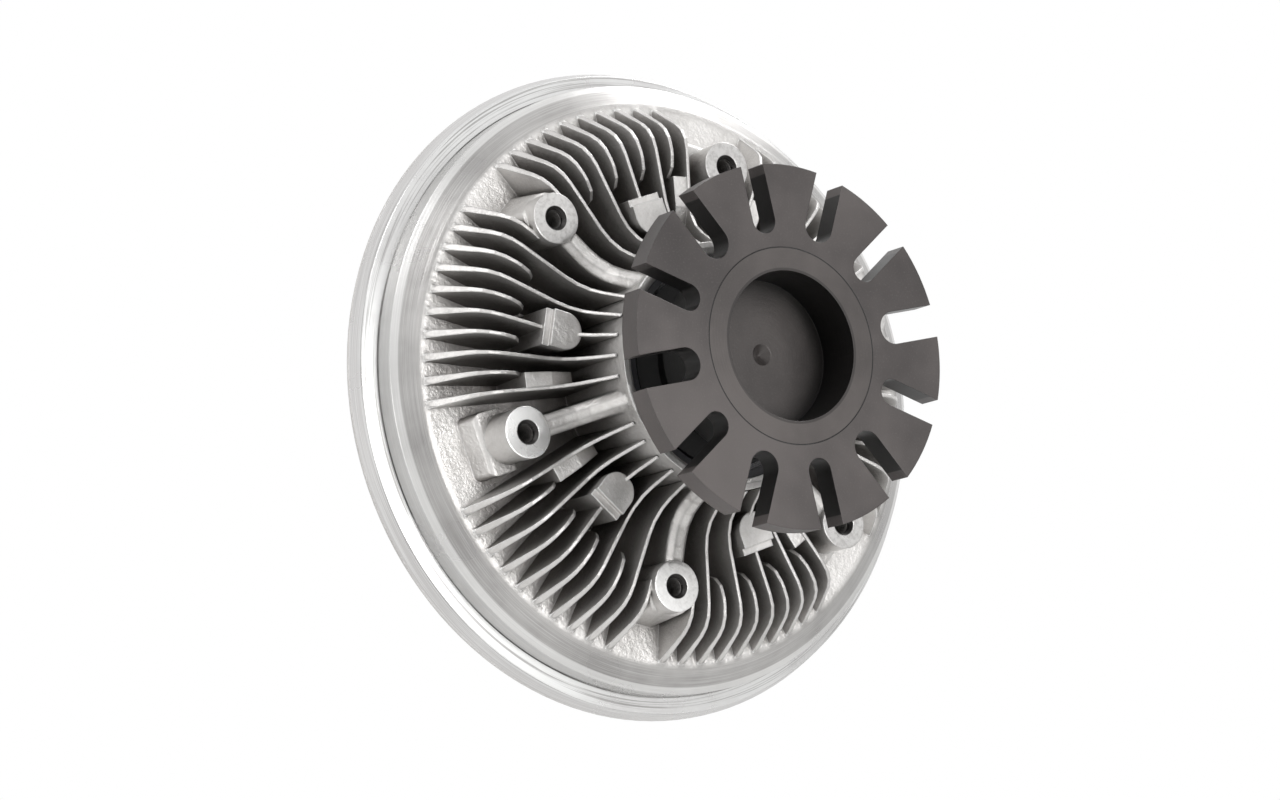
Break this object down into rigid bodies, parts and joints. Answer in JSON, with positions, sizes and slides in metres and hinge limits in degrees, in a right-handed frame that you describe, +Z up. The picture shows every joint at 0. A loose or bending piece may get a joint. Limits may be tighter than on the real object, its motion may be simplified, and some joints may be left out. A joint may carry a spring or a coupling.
{
  "type": "viscous fan clutch",
  "caption": "Viscous engine fan clutch: slotted drive flange on a shaft, roller bearing, finned cast housing with fan bosses, fluid rotor and a bimetal valve under the front cover.",
  "frame": {"origin": "centre of the drive flange's mounting face, where the pilot bore opens", "axes": "the clutch turns about Y; the mounting face looks along -Y and the fan side along +Y; +Z is up as pictured"},
  "size_m": [0.251, 0.133, 0.251],
  "materials": {
    "flange_steel": "dark phosphated, turned and milled",
    "shaft_steel": "dark phosphated, turned",
    "bearing_steel": "ground and polished",
    "cast_aluminium": "die cast and lightly blasted, machined faces bright",
    "rotor_aluminium": "turned",
    "zinc_steel": "zinc plated",
    "spring_steel": "blackened spring steel",
    "plate_steel": "cold rolled sheet",
    "wiper_steel": "ground",
    "bracket_steel": "yellow zinc plated sheet",
    "pin_steel": "ground pin stock",
    "plug_steel": "zinc plated",
    "lever_steel": "spring steel",
    "bimetal": "rolled bimetal strip",
    "cage_brass": "machined",
    "bush_brass": "turned",
    "seal_rubber": "moulded"
  },
  "bodies": {
    "drive": {"slotted_flange": "flange_steel", "drive_shaft": "shaft_steel", "bearing_inner_ring": "bearing_steel", "rotor": "rotor_aluminium", "rotor_bolt": "zinc_steel"},
    "roller_set": {"bearing_rollers": "bearing_steel", "bearing_cage": "cage_brass"},
    "housing": {"rear_housing": "cast_aluminium", "front_cover": "cast_aluminium", "bearing_outer_ring": "bearing_steel", "bearing_retaining_ring": "spring_steel", "bearing_seal": "seal_rubber", "intermediate_plate": "plate_steel", "plate_rivets": "zinc_steel", "pump_wiper": "wiper_steel", "pin_bush": "bush_brass", "bimetal_bracket": "bracket_steel", "bracket_screws": "zinc_steel", "valve_pivot": "pin_steel", "fill_plug": "plug_steel"},
    "thermostat": {"bimetal_strip": "bimetal", "control_pin": "pin_steel"},
    "valve": {"valve_lever": "lever_steel"}
  },
  "joints": [
    {"name": "housing_spin", "type": "hinge", "parent": "drive", "child": "housing", "pos_m": [0, 0.057, 0], "axis": [0, 1, 0], "continuous": true},
    {"name": "roller_set_spin", "type": "hinge", "parent": "drive", "child": "roller_set", "pos_m": [0, 0.057, 0], "axis": [0, 1, 0], "continuous": true},
    {"name": "control_pin_slide", "type": "slide", "parent": "housing", "child": "thermostat", "axis": [0, 1, 0], "range_m": [0, 0.0012]},
    {"name": "valve_lever_swing", "type": "hinge", "parent": "housing", "child": "valve", "pos_m": [0, 0.10335, -0.024], "axis": [-1, 0, 0], "range_deg": [0, 2.87]}
  ],
  "couplings": [
    {"joint": "roller_set_spin", "follows": "housing_spin", "ratio": 0.57728},
    {"joint": "valve_lever_swing", "follows": "control_pin_slide", "rad_per_m": 41.667}
  ]
}
